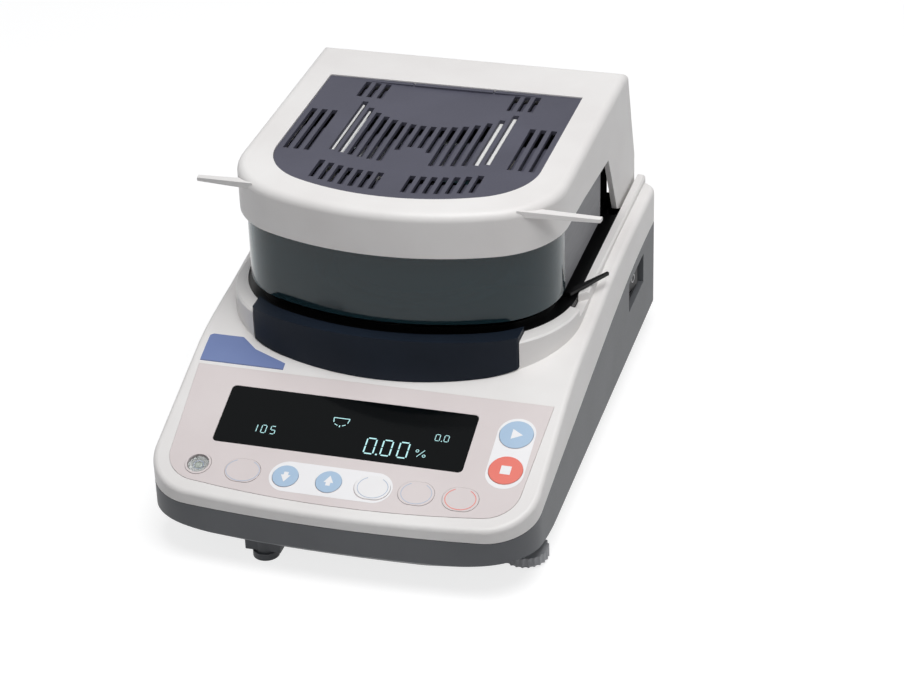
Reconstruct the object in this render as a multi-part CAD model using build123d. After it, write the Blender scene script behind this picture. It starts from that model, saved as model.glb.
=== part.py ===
from build123d import *
import os
from math import asin, cos, radians, sin, sqrt, tan

os.makedirs("parts", exist_ok=True)

# Driving dimensions, mm. +Z up, -Y front, origin on the floor under the housing's middle.
WIDTH = 215.0
DEPTH = 320.0
LID_TOP = 173.0
CORNER_R = 29.0
FRONT_BOW_R = 900.0
REAR_R = 12.0
WALL = 3.0
SEAM_GAP = 0.4
GAP = 0.3
BASE_BOTTOM = 12.0
BEVEL_TOP = 25.0
HALF = WIDTH / 2
FRONT = -DEPTH / 2
REAR = DEPTH / 2

# Control panel plane, s is the distance down the slope
PANEL_TILT = 19.085
PANEL_Y = -73.7
PANEL_Z = 72.8
MEMBRANE_T = 0.8
MEMBRANE_LIFT = 0.2
MEMBRANE_L = (PANEL_Y - FRONT) / cos(radians(PANEL_TILT)) - 7.1
MEMBRANE_HALF = HALF - 6.3
KEY_ROW_S = MEMBRANE_L - 15.3
KEY_ROW_X0 = 53.6 - HALF
KEY_PITCH = (WIDTH - 94.25) / 5
KEY_CLEAR = 0.2
KEY_LIFT = 0.45
ACTION_X = HALF - 21.8
START_S = 22.0
STOP_S = 46.3
DISPLAY_X = -7.0
DISPLAY_S = MEMBRANE_L * 0.38
DISPLAY_W = WIDTH - 75.0
DISPLAY_H = 39.2
LEVEL_X = 28.0 - HALF
LEVEL_S = KEY_ROW_S - 0.9
LEVEL_R = 6.2

# Chamber
CHAMBER_Y = 28.0
DECK_Z = 96.0
PLATEAU_Z = 100.0
FLOOR_Z = 67.0
TUB_R = 62.0
TUB_FLOOR = 72.0
PAN_R = 42.5
COLLAR_TOP = 96.8
COLLAR_HALF = HALF - 7.5
COLLAR_FRONT = -69.7
COLLAR_RF = 195.0
COLLAR_RC = 60.0
RIM_HALF = COLLAR_HALF - 5.0
RIM_FRONT = COLLAR_FRONT + 7.7
RIM_RF = 160.0
RIM_RC = 60.0
BAND_TOP = 100.0
BAND_HALF = HALF - 31.5
WELL_Y = REAR - 42.0

# Power switch
SWITCH_Y = 100.5
SWITCH_Z = 55.0
PIVOT_X = HALF - 9.0
PIVOT_R = 2.0
PIVOT_CLEAR = 0.05
ROCKER_R = 14.1
ROCKER_H = 13.2

# Lid
LID_HALF = HALF - 14.0
LID_FRONT = -62.5
LID_RF = 168.0
LID_RC = 48.0
LID_WALL = 3.0
LID_BACK = REAR - 3.0
SKIRT_Z = LID_TOP - 26.2
GLASS_OFF = LID_WALL + 0.6
GLASS_T = 2.5
GLASS_BOTTOM = 104.5
LINER_BACK = 84.0
GRILLE_HALF = LID_HALF - 18.0
GRILLE_FRONT = LID_FRONT + 18.5
GRILLE_RF = 130.0
GRILLE_RC = 40.0
GRILLE_BACK = 99.0
GRILLE_T = 2.2
GRILLE_Z = LID_TOP - 0.6
SLOT_W = 3.4
DISH_R = 53.6
DISH_DEEP = 1.2
FRAME_Z = LID_TOP - 31.0
LAMP_Z = LID_TOP - 20.0
FILTER_R = 56.0
SHIELD_Y = 112.0
HINGE_Y = REAR - 17.0
HINGE_Z = 84.0
HINGE_PIN_R = 3.0
HINGE_CLEAR = 0.08

# Feet
WHEEL_X = HALF - 13.5
WHEEL_Y = FRONT + 48.0
WHEEL_R = 13.0
STEM_R = 3.0
REAR_FOOT_X = HALF - 27.5
REAR_FOOT_Y = REAR - 32.0
REAR_FOOT_R = 8.0
STUB_X = -43.0
STUB_Y = FRONT + 19.0
STUB_R = 5.8
SCREW_X = HALF - 19.5
SCREW_YS = (FRONT + 65.0, REAR - 60.0)


def save(shape, name):
    shape.label = name
    export_step(shape, "parts/" + name + ".step")


def plan_face(w, y0, rf, rc, yb):
    cx = w - rc
    yc = y0 + rf - sqrt((rf - rc) ** 2 - cx ** 2)
    a = asin(cx / (rf - rc))
    tx = rf * sin(a)
    ty = y0 + rf - rf * cos(a)
    b = (a + radians(90)) / 2
    mx = cx + rc * sin(b)
    my = yc - rc * cos(b)
    front = ThreePointArc((-tx, ty), (0, y0), (tx, ty))
    right = ThreePointArc((tx, ty), (mx, my), (w, yc))
    left = ThreePointArc((-w, yc), (-mx, my), (-tx, ty))
    back = Polyline((w, yc), (w, yb), (-w, yb), (-w, yc))
    return make_face([front, right, back.edges()[0], back.edges()[1], back.edges()[2], left])


def collar_plan(off, yb):
    return plan_face(COLLAR_HALF - off, COLLAR_FRONT + off, COLLAR_RF - off, COLLAR_RC - off, yb)


def rim_plan(off, yb):
    return plan_face(RIM_HALF - off, RIM_FRONT + off, RIM_RF - off, RIM_RC - off, yb)


def lid_plan(off, yb):
    return plan_face(LID_HALF - off, LID_FRONT + off, LID_RF - off, LID_RC - off, yb)


def grille_plan(off):
    return plan_face(GRILLE_HALF - off, GRILLE_FRONT + off, GRILLE_RF - off, GRILLE_RC - off,
                     GRILLE_BACK - off)


def prism(face, z0, z1):
    return extrude(Pos(0, 0, z0) * face, z1 - z0)


def side_prism(points, x0, x1):
    # points are (y, z)
    face = Plane.YZ * make_face(Polyline(*points, close=True))
    return extrude(Pos(x0, 0, 0) * face, x1 - x0)


def box(x0, x1, y0, y1, z0, z1):
    return Pos((x0 + x1) / 2, (y0 + y1) / 2, (z0 + z1) / 2) * Box(abs(x1 - x0), y1 - y0, z1 - z0)


def cyl(x, y, z0, z1, r):
    return Pos(x, y, (z0 + z1) / 2) * Cylinder(r, z1 - z0)


def pan_cyl(z0, z1, r):
    return cyl(0, CHAMBER_Y, z0, z1, r)


def cyl_x(y, z, x0, x1, r):
    return Pos((x0 + x1) / 2, y, z) * Rot(0, 90, 0) * Cylinder(r, abs(x1 - x0))


def on_panel(x, s, lift=0.0):
    # a point s mm down the panel from the membrane's top line, local Z along the panel normal
    y = PANEL_Y - s * cos(radians(PANEL_TILT))
    z = PANEL_Z - s * sin(radians(PANEL_TILT))
    return Pos(x, y, z) * Rot(PANEL_TILT, 0, 0) * Pos(0, 0, lift)


def footprint(off=0.0):
    h = HALF - off
    r = CORNER_R - off
    front = plan_face(h, FRONT + off, FRONT_BOW_R, r, REAR - off - 20)
    back = Pos(0, REAR - off - 40) * Rectangle(2 * h, 80)
    back = fillet(back.vertices().group_by(Axis.Y)[-1], REAR_R - off)
    return (front + back).face()


SEAM = Spline(
    (FRONT - 12, 34.0), (-101, 44.7), (-20, 56.6), (60, 67.4), (111, 71.2), (REAR + 12, 70.2),
    tangents=((1, 0.14), (1, -0.04)),
)


def below_seam(shift):
    foot = Polyline((REAR + 12, 70.2), (REAR + 12, -20), (FRONT - 12, -20), (FRONT - 12, 34.0))
    edges = [SEAM.edge()] + list(foot.edges())
    return Pos(-WIDTH, 0, shift) * extrude(Plane.YZ * make_face(edges), 2 * WIDTH)


# Side profile of the upper housing: panel plane, then shoulder
def top_profile(drop=0.0):
    k = tan(radians(PANEL_TILT))
    ahead = FRONT - 15
    start = (ahead, PANEL_Z + (ahead - PANEL_Y) * k - drop)
    turn = PANEL_Y + 11.7
    mid = (turn, PANEL_Z + (turn - PANEL_Y) * k - drop)
    line = Line(start, mid)
    spl = Spline(mid, (-1.5, 86.4 - drop), (35, 91.0 - drop), (86, 93.4 - drop), (REAR + 15, 92.2 - drop),
                 tangents=((1, k), (1, -0.02)))
    foot = Polyline((REAR + 15, 92.2 - drop), (REAR + 15, -20), (ahead, -20), start)
    face = make_face([line.edge(), spl.edge()] + list(foot.edges()))
    return Pos(-WIDTH, 0, 0) * extrude(Plane.YZ * face, 2 * WIDTH)


def panel_prism(face, lift0, lift1):
    return on_panel(0, 0, lift0) * extrude(face, lift1 - lift0)


def below_panel(lift):
    return on_panel(0, 0, lift) * Pos(0, 0, -WIDTH) * Box(2 * WIDTH, 2 * DEPTH, 2 * WIDTH)


# Upper housing
outer = prism(footprint(), 0, LID_TOP) & top_profile()
rim = []
for f in outer.faces():
    if f.normal_at(f.center()).Z > 0.8:
        for e in f.edges():
            across = e.bounding_box().size.X > HALF * 1.4 and abs(e.center().Y) < REAR - 10
            if not across:
                rim.append(e)
outer = fillet(rim, 3.0)
inner = prism(footprint(WALL), -5, LID_TOP) & top_profile(WALL)
collar = prism(collar_plan(0, REAR + 10), FLOOR_Z - 7, COLLAR_TOP) & prism(footprint(0.6), 0, LID_TOP)
collar_top = collar.faces().sort_by(Axis.Z)[-1]
collar = chamfer([e for e in collar_top.edges() if e.center().Y < REAR - 10], 1.0)
upper = (outer + collar) - below_seam(SEAM_GAP / 2)
upper = upper - (inner - prism(collar_plan(0, REAR + 10), FLOOR_Z - WALL, LID_TOP))
upper = upper - prism(rim_plan(0, REAR + 15), FLOOR_Z, LID_TOP)

band_zone = box(-BAND_HALF, BAND_HALF, PANEL_Y - 16, PANEL_Y + 53, FLOOR_Z - 7, BAND_TOP)
band = prism(collar_plan(-0.6, 0), FLOOR_Z - 7, BAND_TOP) & band_zone
band = band - prism(rim_plan(0, 20), 50, LID_TOP) - below_panel(0.3)
ends = [e for e in band.edges().filter_by(Axis.Z) if abs(e.center().X) > BAND_HALF - 0.1]
ends.sort(key=lambda e: e.center().Y)
band = fillet(ends[:2], 3.0)
band_cut = prism(collar_plan(-2.0, 0), FLOOR_Z - 7, LID_TOP)
band_cut = band_cut & box(-BAND_HALF - GAP, BAND_HALF + GAP, PANEL_Y - 16, PANEL_Y + 53, 60, LID_TOP)
upper = upper - (band_cut - below_panel(0.2))

# Notch for the pan handle in the right collar, hole for the pan post
notch = Polygon((RIM_HALF - 1, -7), (COLLAR_HALF + 0.5, -9), (COLLAR_HALF + 0.5, 12), (RIM_HALF - 1, 6),
                align=None)
upper = upper - prism(notch, COLLAR_TOP - 4.8, LID_TOP)
upper = upper - pan_cyl(FLOOR_Z - 17, FLOOR_Z + 13, 12)


def membrane_face(off):
    h = MEMBRANE_HALF - off
    tip = MEMBRANE_HALF - 3.6 - off
    low = MEMBRANE_HALF - 20.7 - off
    bend = MEMBRANE_HALF - 8.2
    s1 = MEMBRANE_L - 24.2
    s2 = MEMBRANE_L - 12.0
    s3 = MEMBRANE_L - 5.2
    top = Line((-h, -off), (h, -off))
    right = Line((h, -off), (tip, -s1))
    cr = ThreePointArc((tip, -s1), (bend - off, -s2 + off * 0.6), (low, -s3 + off))
    front = ThreePointArc((low, -s3 + off), (0, -MEMBRANE_L + off), (-low, -s3 + off))
    cl = ThreePointArc((-low, -s3 + off), (-bend + off, -s2 + off * 0.6), (-tip, -s1))
    left = Line((-tip, -s1), (-h, -off))
    return make_face([e.edge() for e in (top, right, cr, front, cl, left)])


def key_face(kind, grow=0.0):
    if kind == "round":
        return Circle(7.1 + grow)
    if kind == "action":
        return Circle(9.2 + grow)
    return SlotOverall(19.6 + 2 * grow, 15.4 + 2 * grow)


KEYS = [
    ("key_program", KEY_ROW_X0, KEY_ROW_S, "oval"),
    ("key_down", KEY_ROW_X0 + KEY_PITCH, KEY_ROW_S, "round"),
    ("key_up", KEY_ROW_X0 + 2 * KEY_PITCH, KEY_ROW_S, "round"),
    ("key_select", KEY_ROW_X0 + 3 * KEY_PITCH, KEY_ROW_S, "oval"),
    ("key_enter", KEY_ROW_X0 + 4 * KEY_PITCH, KEY_ROW_S, "oval"),
    ("key_reset", KEY_ROW_X0 + 5 * KEY_PITCH, KEY_ROW_S, "oval"),
    ("key_start", ACTION_X, START_S, "action"),
    ("key_stop", ACTION_X, STOP_S, "action"),
]

membrane = panel_prism(membrane_face(0.0), MEMBRANE_LIFT - MEMBRANE_T, MEMBRANE_LIFT)
upper = upper - panel_prism(membrane_face(-0.2), MEMBRANE_LIFT - MEMBRANE_T, 4)
window_at = Pos(DISPLAY_X, -DISPLAY_S)
window = window_at * RectangleRounded(DISPLAY_W, DISPLAY_H, 2.5)
window_seat = window_at * RectangleRounded(DISPLAY_W + 0.4, DISPLAY_H + 0.4, 2.7)
window_open = window_at * RectangleRounded(DISPLAY_W - 6, DISPLAY_H - 6, 2)
membrane = membrane - panel_prism(window_seat, -5, 5)
upper = upper - panel_prism(window_seat, -1.4, 5) - panel_prism(window_open, -8, 5)
for name, kx, ks, kind in KEYS:
    hole = panel_prism(Pos(kx, -ks) * key_face(kind, KEY_CLEAR), -9, 5)
    membrane = membrane - hole
    upper = upper - hole
    cap = panel_prism(Pos(kx, -ks) * key_face(kind), -1.6, KEY_LIFT)
    cap = fillet(cap.faces().sort_by(Axis.Z)[-1].edges(), 0.15)
    stem = panel_prism(Pos(kx, -ks) * key_face(kind, -1.0), -4.4, -1.6)
    save(cap + stem, name)
level_at = Pos(LEVEL_X, -LEVEL_S)
level_hole = panel_prism(level_at * Circle(LEVEL_R + 1.2), -9, 5)
membrane = membrane - level_hole
upper = upper - level_hole
ring = panel_prism(level_at * (Circle(LEVEL_R + 1.0) - Circle(LEVEL_R - 0.2)), -3.6, 0.5)
save(ring, "level_ring")
save(panel_prism(level_at * Circle(LEVEL_R - 0.4), -9, -1.2), "level_vial")
cup = panel_prism(level_at * Circle(LEVEL_R + 1.0), -10.4, -3.8)
save(cup - panel_prism(level_at * Circle(LEVEL_R - 0.2), -9.2, 5), "level_cup")
save(band, "collar_band")
save(membrane, "control_membrane")
save(panel_prism(window, -1.2, 0.1), "display_window")
save(upper, "upper_housing")

# Lower housing, its bottom bevelled all round and deepest at the front corners
bevel_low = Pos(0, 0, BASE_BOTTOM) * plan_face(HALF - 4.0, FRONT + 10.5, FRONT_BOW_R, 60.0, REAR + 10)
bevel_high = Pos(0, 0, BEVEL_TOP) * plan_face(HALF + 7.5, FRONT - 5.5, FRONT_BOW_R, 45.0, REAR + 10)
bevel = loft([bevel_low, bevel_high], ruled=True)
bevel_wide = plan_face(HALF + 7.5, FRONT - 5.5, FRONT_BOW_R, 45.0, REAR + 10)
bevel = bevel + prism(bevel_wide, BEVEL_TOP, LID_TOP)
lower_out = prism(footprint(), BASE_BOTTOM, LID_TOP) & below_seam(-SEAM_GAP / 2) & bevel
in_low = Pos(0, 0, BASE_BOTTOM + WALL) * plan_face(HALF - 6.5, FRONT + 14.0, FRONT_BOW_R, 57.0, REAR + 10)
in_wide = plan_face(HALF + 5.0, FRONT - 2.0, FRONT_BOW_R, 42.0, REAR + 10)
in_bevel = loft([in_low, Pos(0, 0, BEVEL_TOP + WALL) * in_wide], ruled=True)
in_bevel = in_bevel + prism(in_wide, BEVEL_TOP + WALL, LID_TOP)
cavity = prism(footprint(WALL), BASE_BOTTOM + WALL, LID_TOP) & in_bevel
lower = lower_out - cavity
pocket = box(HALF - 4.5, HALF + 5, SWITCH_Y - 19.5, SWITCH_Y + 19.5, SWITCH_Z - 9.5, SWITCH_Z + 9.5)
switch_open = box(HALF - 27.5, HALF + 5, SWITCH_Y - 16.1, SWITCH_Y + 16.1, SWITCH_Z - 8.4, SWITCH_Z + 8.4)
boss = box(HALF - 7.5, HALF - 0.4, SWITCH_Y - 22.5, SWITCH_Y + 22.5, SWITCH_Z - 12.5, SWITCH_Z + 11.5)
lower = lower + boss - pocket - switch_open
inlet_open = box(47, 75, REAR - 10, REAR + 5, 24.5, 48.5)
fuse_open = Pos(32, REAR - 5, 36) * Rot(90, 0, 0) * Cylinder(6.3, 20)
serial_open = box(-71, -39, REAR - 10, REAR + 5, 29, 43)
lower = lower - inlet_open - fuse_open - serial_open
for sx in (-1, 1):
    lower = lower + (cyl(sx * WHEEL_X, WHEEL_Y, BASE_BOTTOM, 30, 7) & lower_out)
    lower = lower - cyl(sx * WHEEL_X, WHEEL_Y, 0, 29, STEM_R + 0.1)
    lower = lower - cyl(sx * REAR_FOOT_X, REAR_FOOT_Y, 5, BASE_BOTTOM + 1.5, REAR_FOOT_R + 0.1)
    for sy in SCREW_YS:
        lower = lower - cyl(sx * SCREW_X, sy, 0, BASE_BOTTOM + 2.1, 3.4)
        lower = lower - cyl(sx * SCREW_X, sy, BASE_BOTTOM + 2, BASE_BOTTOM + 6, 1.7)
lower = lower - cyl(STUB_X, STUB_Y, 5, BASE_BOTTOM + 1.5, STUB_R + 0.1)
save(lower, "lower_housing")

# Feet
stub = cyl(STUB_X, STUB_Y, 0, 4, 7.3) + cyl(STUB_X, STUB_Y, 4, BASE_BOTTOM + 1.4, STUB_R)
stub = stub + box(STUB_X - 10, STUB_X + 10, STUB_Y - 5, STUB_Y + 5, 5, BASE_BOTTOM - GAP)
save(stub, "front_stub_foot")
rear_feet = [cyl(sx * REAR_FOOT_X, REAR_FOOT_Y, 0, BASE_BOTTOM + 1.4, REAR_FOOT_R) for sx in (-1, 1)]
save(Part() + rear_feet, "rear_feet")
for sx, side in ((-1, "left"), (1, "right")):
    wx = sx * WHEEL_X
    wheel = cyl(wx, WHEEL_Y, 2.0, 7.5, WHEEL_R)
    knurl = PolarLocations(WHEEL_R + 0.9, 24)
    wheel = wheel - Pos(wx, WHEEL_Y, 4.75) * knurl * Cylinder(1.7, 8)
    stem = cyl(wx, WHEEL_Y, 7.5, 26, STEM_R)
    save(wheel + stem - cyl(wx, WHEEL_Y, 1, 5.0, 5.3), "levelling_wheel_" + side)
    pad = cyl(wx, WHEEL_Y, 0, 1.4, 7.0) + cyl(wx, WHEEL_Y, 1.4, 4.7, 5.0)
    save(pad, "levelling_pad_" + side)

# Control electronics
back_face = window_at * Rectangle(DISPLAY_W - 12, DISPLAY_H - 11.2)
save(panel_prism(back_face, -10.5, -4.5), "display_module")
board = panel_prism(Pos(0, 6.9 - KEY_ROW_S) * Rectangle(WIDTH - 41, 34), -12.4, -10.9)
board = board - panel_prism(level_at * Circle(LEVEL_R + 2), -14, 5)
action_s = (START_S + STOP_S) / 2
board = board + panel_prism(Pos(ACTION_X, -action_s) * Rectangle(16, STOP_S - START_S + 19.7), -12.4, -10.9)
save(board, "key_board")
switches = [panel_prism(Pos(kx, -ks) * Rectangle(7, 7), -10.9, -5.2) for name, kx, ks, kind in KEYS]
save(Part() + switches, "key_switches")
main = box(-80, 80, FRONT + 35, PANEL_Y + 25, 24, 25.6)
chips = [box(-60, -40, -100, -80, 25.6, 28), box(-10, 14, -95, -75, 25.6, 28.6),
         box(40, 62, -110, -70, 25.6, 31), box(-30, -22, -120, -60, 25.6, 33)]
save(main + chips, "main_board")

# Weighing cell
cell_base = box(-55, 55, CHAMBER_Y - 30, CHAMBER_Y + 30, BASE_BOTTOM + WALL + GAP, 24)
beam = box(-45, 45, CHAMBER_Y - 14, CHAMBER_Y + 14, 27, 47)
beam = beam - box(-26, 26, CHAMBER_Y - 20, CHAMBER_Y + 20, 32, 42)
beam = beam - cyl_x(CHAMBER_Y, 37, -30, -22, 6) - cyl_x(CHAMBER_Y, 37, 22, 30, 6)
beam = beam + box(-45, -27, CHAMBER_Y - 14, CHAMBER_Y + 14, 24, 27)
save(cell_base, "weigh_cell_base")
save(beam, "weigh_cell")
bridge = box(-6, 40, CHAMBER_Y - 10, CHAMBER_Y + 10, 47.7, 50.7)
post = bridge + pan_cyl(50.7, 90, 4)
for ang in (0, 60, 120):
    post = post + Pos(0, CHAMBER_Y, 91) * Rot(0, 0, ang) * Box(70, 4, 2)
save(post, "pan_support")

# Chamber: deck, tub, sample pan, draft ring, handle
deck = prism(rim_plan(GAP, WELL_Y), DECK_Z - 4, DECK_Z)
for sx in (-1, 1):
    deck = deck - box(sx * (RIM_HALF - 7), sx * RIM_HALF, WELL_Y - 12, WELL_Y + 1, 80, 110)
deck = deck + prism(lid_plan(8.5, SHIELD_Y), DECK_Z, PLATEAU_Z)
deck = deck - pan_cyl(80, 120, TUB_R)
for sx in (-1, 1):
    deck = deck + cyl(sx * (RIM_HALF - 17), -20, FLOOR_Z + 0.1, DECK_Z - 4, 4)
    deck = deck + cyl(sx * (RIM_HALF - 17), 100, FLOOR_Z + 0.1, DECK_Z - 4, 4)
deck = deck - box(TUB_R - 10, RIM_HALF + 1, 2.4, 7.6, 97.1, 110)
save(deck, "chamber_rim")
tub = pan_cyl(TUB_FLOOR - 2, DECK_Z - 4 - GAP, TUB_R + 2) - pan_cyl(TUB_FLOOR, LID_TOP, TUB_R)
save(tub - pan_cyl(60, 90, 8), "chamber_tub")
draft = pan_cyl(TUB_FLOOR + GAP, 89, 58) - pan_cyl(60, 99, 56.5)
draft = draft + (pan_cyl(TUB_FLOOR + GAP, TUB_FLOOR + 1.8, 58) - pan_cyl(60, 99, 12))
save(draft, "draft_ring")
pan = pan_cyl(92.3, 100.3, PAN_R) - pan_cyl(93.0, 110, PAN_R - 0.7)
pan_lip = pan_cyl(99.6, 100.3, PAN_R + 1.6) - pan_cyl(90, 110, PAN_R - 0.7)
save(pan + pan_lip, "sample_pan")
hand = pan_cyl(97.4, 99.2, PAN_R + 7.5) - pan_cyl(90, 110, PAN_R + 0.5)
hand = hand + box(PAN_R, RIM_HALF - 5, 3.2, 6.8, 97.4, 99.2)
tip = Polygon((RIM_HALF - 6, 3.2), (RIM_HALF - 3.4, 3.2), (HALF - 0.6, 31.4), (HALF - 1.9, 32.2),
              (RIM_HALF - 6, 6.8), align=None)
save(hand + prism(tip, 97.4, 99.2), "pan_handle")

# Power parts
save(box(-78, -28, 70, 130, BASE_BOTTOM + WALL + GAP, 48), "transformer")
relay = box(30, 78, 60, 110, 20, 21.6) + box(36, 50, 70, 84, 21.6, 36) + box(56, 72, 72, 100, 21.6, 40)
save(relay, "power_board")
inlet = box(47 + GAP, 75 - GAP, REAR - 20, REAR, 24.5 + GAP, 48.5 - GAP)
inlet = inlet - box(50.5, 71.5, REAR - 14, REAR + 5, 28, 45)
pins = [box(px - 1, px + 1, REAR - 14, REAR - 3, pz - 2, pz + 2) for px, pz in ((54.5, 38), (67.5, 38), (61, 33))]
save(inlet + pins, "power_inlet")
save(Pos(32, REAR - 10, 36) * Rot(90, 0, 0) * Cylinder(6.3 - GAP, 20), "fuse_holder")
serial = box(-71 + GAP, -39 - GAP, REAR - 10, REAR - 0.4, 29 + GAP, 43 - GAP)
save(serial - box(-63, -47, REAR - 5, REAR + 5, 32.5, 39.5), "serial_connector")


def switch_box(x0, x1, half_y, half_z):
    return box(x0, x1, SWITCH_Y - half_y, SWITCH_Y + half_y, SWITCH_Z - half_z, SWITCH_Z + half_z)


frame = switch_box(HALF - 22, HALF - 4.3, 15.8, 8.1) + switch_box(HALF - 4.4, HALF - 3.2, 17.5, 9.2)
frame = frame - switch_box(HALF - 18, HALF, ROCKER_R + 0.2, ROCKER_H / 2 + GAP)
frame = frame - Pos(PIVOT_X, SWITCH_Y, SWITCH_Z) * Cylinder(PIVOT_R + PIVOT_CLEAR, 40)
save(frame, "switch_frame")
side = Polygon((-3, -9), (0, -14.5), (4.1, -14.5), (5, 0), (7.2, 14.5), (0, 14.5), (-3, 9), align=None)
rocker = extrude(side & Circle(ROCKER_R), ROCKER_H / 2, both=True)
rocker = rocker + Cylinder(PIVOT_R, ROCKER_H + 2)
save(Pos(PIVOT_X, SWITCH_Y, SWITCH_Z) * rocker, "power_rocker")

# Label plate, bare
px = HALF - 6.0
plate_face = Polygon((-px, PANEL_Y + 2.2), (54.5 - HALF, PANEL_Y + 2.2), (54.5 - HALF, PANEL_Y + 6.2),
                     (35 - HALF, PANEL_Y + 13.2), (25.5 - HALF, PANEL_Y + 20.9),
                     (7.8 - HALF, PANEL_Y + 20.9), (-px, PANEL_Y + 19.6), align=None)
plate = prism(plate_face, 50, 110) & (top_profile(-0.6) - top_profile(-0.05))
save(plate, "label_plate")

# Hinge brackets with pins
brackets = []
for sx in (-1, 1):
    b = cyl_x(HINGE_Y, HINGE_Z, sx * (LID_HALF - 2.6), sx * (LID_HALF + 1.2), 8.0)
    b = b + box(sx * (LID_HALF - 2.6), sx * (LID_HALF + 1.2), HINGE_Y - 6.5, HINGE_Y + 6.5,
                FLOOR_Z + 0.1, HINGE_Z)
    brackets.append(b + cyl_x(HINGE_Y, HINGE_Z, sx * (LID_HALF - 9), sx * (LID_HALF - 2.5), HINGE_PIN_R))
save(Part() + brackets, "hinge_brackets")

# Lid shell
ahead = LID_FRONT - 17.5
block = prism(lid_plan(0, REAR + 5), 88, LID_TOP)
block = block & side_prism([(ahead, 80), (ahead, LID_TOP + 7), (REAR - 22, LID_TOP + 7), (REAR - 22, LID_TOP),
                            (REAR - 12, LID_TOP - 34), (LID_BACK, 111), (LID_BACK, 80)], -WIDTH, WIDTH)
block = fillet(block.faces().sort_by(Axis.Z)[-1].edges(), 5.0)
skirt = side_prism([(ahead, SKIRT_Z), (ahead, 60), (REAR - 50, 60), (REAR - 50, 98),
                    (LINER_BACK + 4, SKIRT_Z - 6.3), (28, SKIRT_Z - 1.2), (0, SKIRT_Z)], -WIDTH, WIDTH)
heel = side_prism([(REAR - 51, 60), (REAR - 51, 98), (REAR - 50, 98), (REAR - 39, 93), (REAR, 93), (REAR, 60)],
                  -WIDTH, WIDTH)
hollow = prism(lid_plan(LID_WALL, REAR + 15), 60, LID_TOP - LID_WALL)
hollow = hollow & side_prism([(ahead, 60), (ahead, LID_TOP + 7), (REAR - 25.1, LID_TOP + 7),
                              (REAR - 25.1, LID_TOP - 2), (REAR - 15, LID_TOP - 34.4), (LID_BACK - 3, 110.5),
                              (LID_BACK - 3, 60)], -WIDTH, WIDTH)
shell = block - skirt - heel - hollow - prism(grille_plan(-GAP), LID_TOP - 13, LID_TOP + 7)
ledge = prism(grille_plan(-3.5), LID_TOP - 5.4, GRILLE_Z - GRILLE_T - 0.1)
ledge = ledge - prism(grille_plan(2.0), LID_TOP - 20, LID_TOP + 7)
save(shell + ledge, "lid_shell")

# Grille with slots
sphere_r = (DISH_R ** 2 + DISH_DEEP ** 2) / (2 * DISH_DEEP)
grille = prism(grille_plan(0), GRILLE_Z - GRILLE_T, GRILLE_Z)
dish = Pos(0, GRILLE_BACK - 0.4, GRILLE_Z - DISH_DEEP + sphere_r) * Sphere(sphere_r)
dish = dish & box(-60, 60, 30, GRILLE_BACK - 3, LID_TOP - 13, LID_TOP + 7)
grille = grille - dish


def slot(x, y0, y1):
    return Pos(x, (y0 + y1) / 2, LID_TOP - 2) * extrude(Rectangle(SLOT_W, y1 - y0), 8, both=True)


cuts = []
for sx in (-1, 1):
    for k in range(3):
        cuts.append(slot(sx * (GRILLE_HALF - 17.2 + 6.1 * k), 2, 54))
        cuts.append(slot(sx * (GRILLE_HALF - 36.8 + 6.1 * k), GRILLE_BACK - 24, GRILLE_BACK - 4))
    for k in range(7):
        t = k / 6
        cuts.append(slot(sx * (9 + 6.05 * k), GRILLE_FRONT + 8.2 + 7.2 * t * t, GRILLE_FRONT + 28 + 8 * t * t))
    cuts.append(box(sx * 24 - 0.6, sx * 24 + 0.6, GRILLE_BACK - 3.2, GRILLE_BACK + 1, GRILLE_Z - 0.8, LID_TOP))
for k in range(16):
    x = (k - 7.5) * 5.95
    back = GRILLE_BACK - 0.4 - sqrt(DISH_R ** 2 - x ** 2)
    front = 0.0045 * x * x - 3.4
    if abs(x) < 11.5:
        front = 17.5 - 0.9 * max(abs(x) - 3.5, 0)
    cuts.append(slot(x, front, back))
save(grille - cuts, "lid_grille")

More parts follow.
